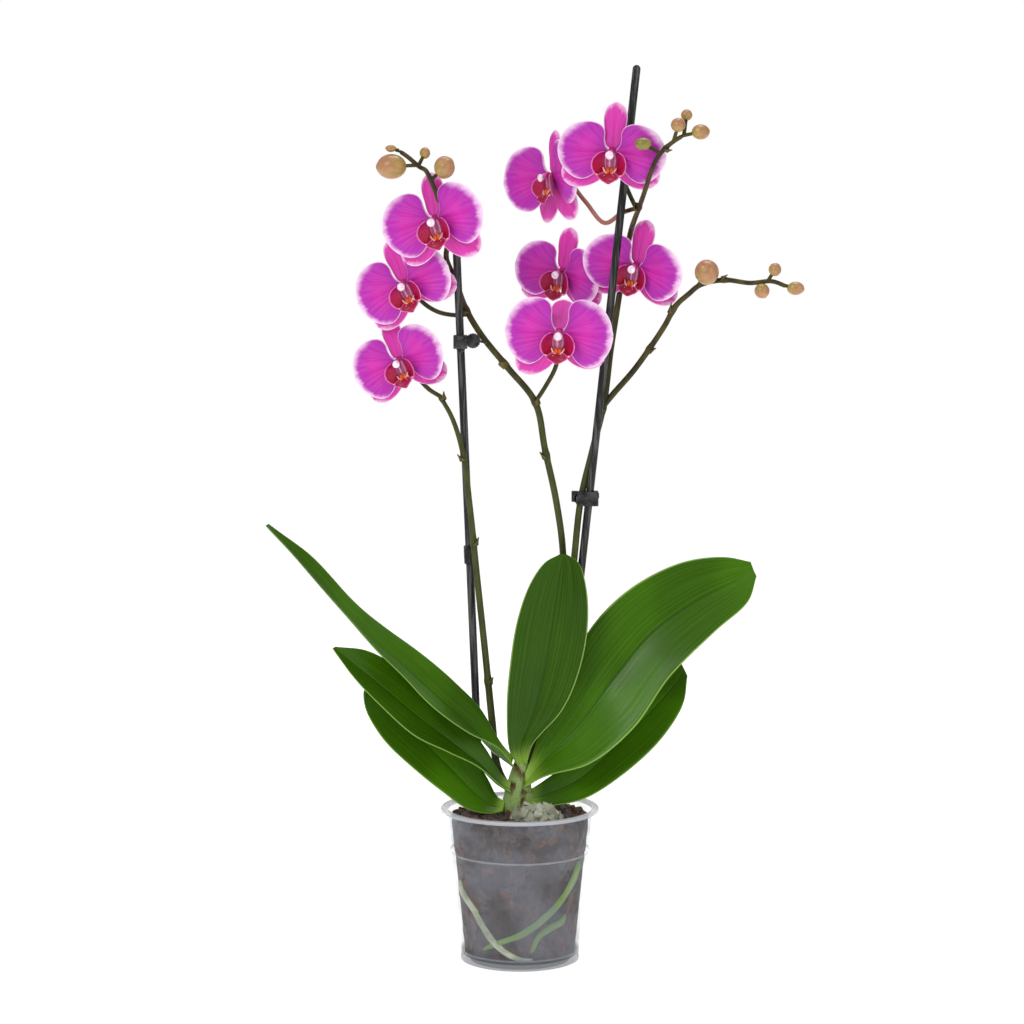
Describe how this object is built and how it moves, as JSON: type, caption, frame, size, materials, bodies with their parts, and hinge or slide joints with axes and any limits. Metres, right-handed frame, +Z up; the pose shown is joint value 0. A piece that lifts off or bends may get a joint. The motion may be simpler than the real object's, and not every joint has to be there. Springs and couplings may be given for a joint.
{
  "type": "potted orchid",
  "caption": "Moth orchid in a clear round pot of bark: strap leaves, arching flower stems tied to stakes, flat violet blooms and round buds.",
  "frame": {"origin": "centre of the underside of the pot, on the surface it stands on", "axes": "+Z up, -Y towards the viewer of the picture, +X to the picture's right"},
  "size_m": [0.4004, 0.1411, 0.6755],
  "materials": {
    "pot": "clear, lightly hazed moulded polypropylene",
    "bark": "damp rough pine bark",
    "root": "waxy living root, grey-green",
    "crown": "waxy leaf sheaths, yellow-green",
    "chips": "dry pale moss crumbs",
    "leaf": "waxy semi-gloss leaf",
    "spike": "smooth olive to maroon stem",
    "stake": "satin charcoal plastic",
    "clip": "black plastic",
    "tepal": "matt velvety petal",
    "lip": "satin crimson lip",
    "bud": "waxy bud skin"
  },
  "bodies": {
    "root": {"pot": "pot", "bark_mix": "bark", "roots": "root", "crown": "crown", "pale_chips": "chips", "leaf_left_upper": "leaf", "leaf_left_middle": "leaf", "leaf_left_lower": "leaf", "leaf_back_upright": "leaf", "leaf_right_upper": "leaf", "leaf_right_lower": "leaf", "spike_left": "spike", "spike_middle": "spike", "spike_right": "spike", "stake_left": "stake", "stake_right": "stake", "clip_left": "clip", "clip_right": "clip", "sleeve_left": "clip", "bloom_left_top": "tepal", "lip_left_top": "lip", "bloom_left_middle": "tepal", "lip_left_middle": "lip", "bloom_left_low": "tepal", "lip_left_low": "lip", "bloom_right_top": "tepal", "lip_right_top": "lip", "bloom_right_back": "tepal", "lip_right_back": "lip", "bloom_middle_back": "tepal", "lip_middle_back": "lip", "bloom_right_middle": "tepal", "lip_right_middle": "lip", "bloom_middle_low": "tepal", "lip_middle_low": "lip", "bud_left_tip_large": "bud", "bud_left_tip_small": "bud", "bud_left_tip_round": "bud", "bud_left_tip_end": "bud", "bud_right_tip_low": "bud", "bud_right_tip_high": "bud", "bud_right_tip_end": "bud", "bud_right_tip_green": "bud", "bud_branch_large": "bud", "bud_branch_high": "bud", "bud_branch_low": "bud", "bud_branch_end": "bud"}
  },
  "joints": []
}
